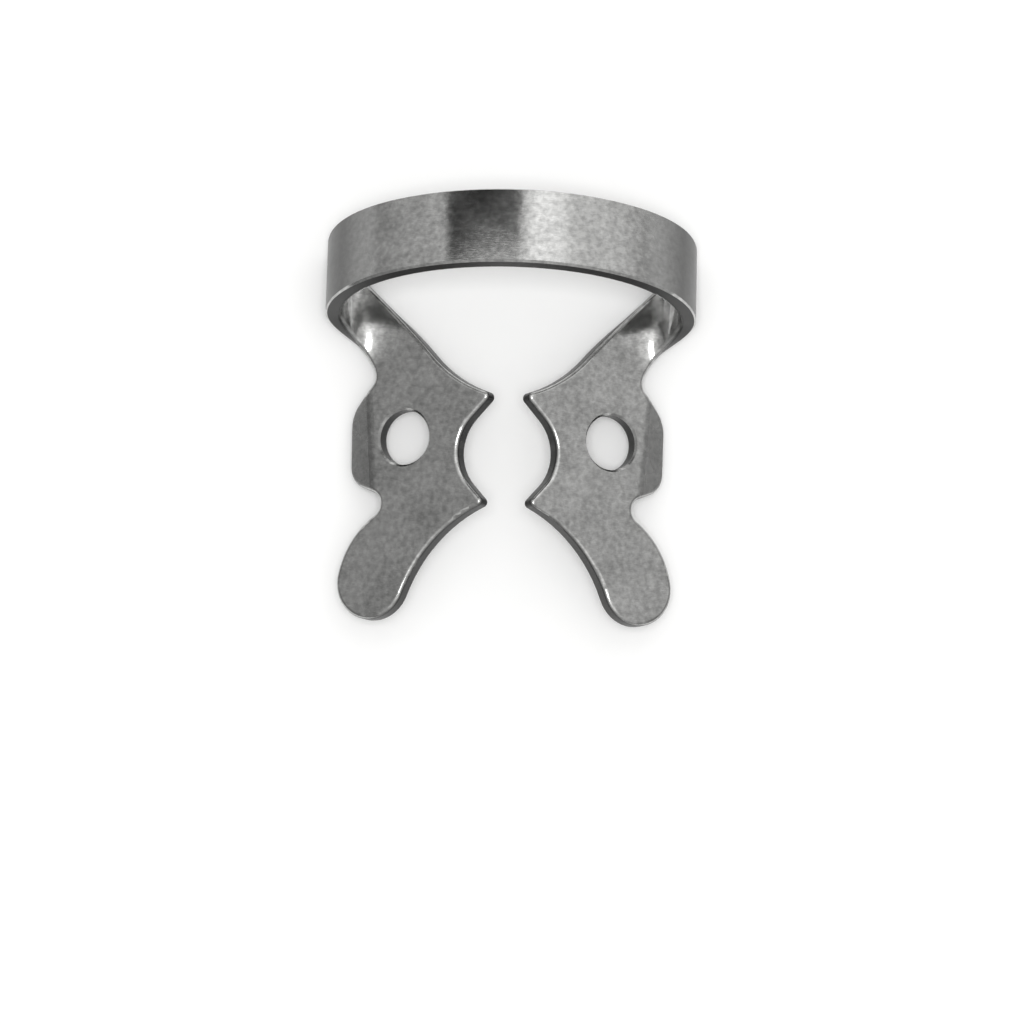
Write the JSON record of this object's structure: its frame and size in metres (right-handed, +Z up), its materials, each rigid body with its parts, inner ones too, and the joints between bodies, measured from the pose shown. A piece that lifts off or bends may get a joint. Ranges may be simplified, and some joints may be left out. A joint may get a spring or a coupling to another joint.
{
  "type": "rubber dam clamp",
  "caption": "Winged dental clamp bent from one piece of spring steel: a bow joins two sloping jaws with forceps holes, gripping prongs and wings that hold a rubber sheet around a tooth.",
  "frame": {"origin": "centre of the bounding box's bottom, on the surface that the clamp lies on", "axes": "+Z up from the surface; +Y from the jaws towards the bow (distal); +X to the right seen from above with the bow away from the viewer"},
  "size_m": [0.0214, 0.025, 0.0101],
  "materials": {
    "steel": "satin stainless spring steel with rounded edges"
  },
  "bodies": {
    "root": {"clamp": "steel"}
  },
  "joints": []
}
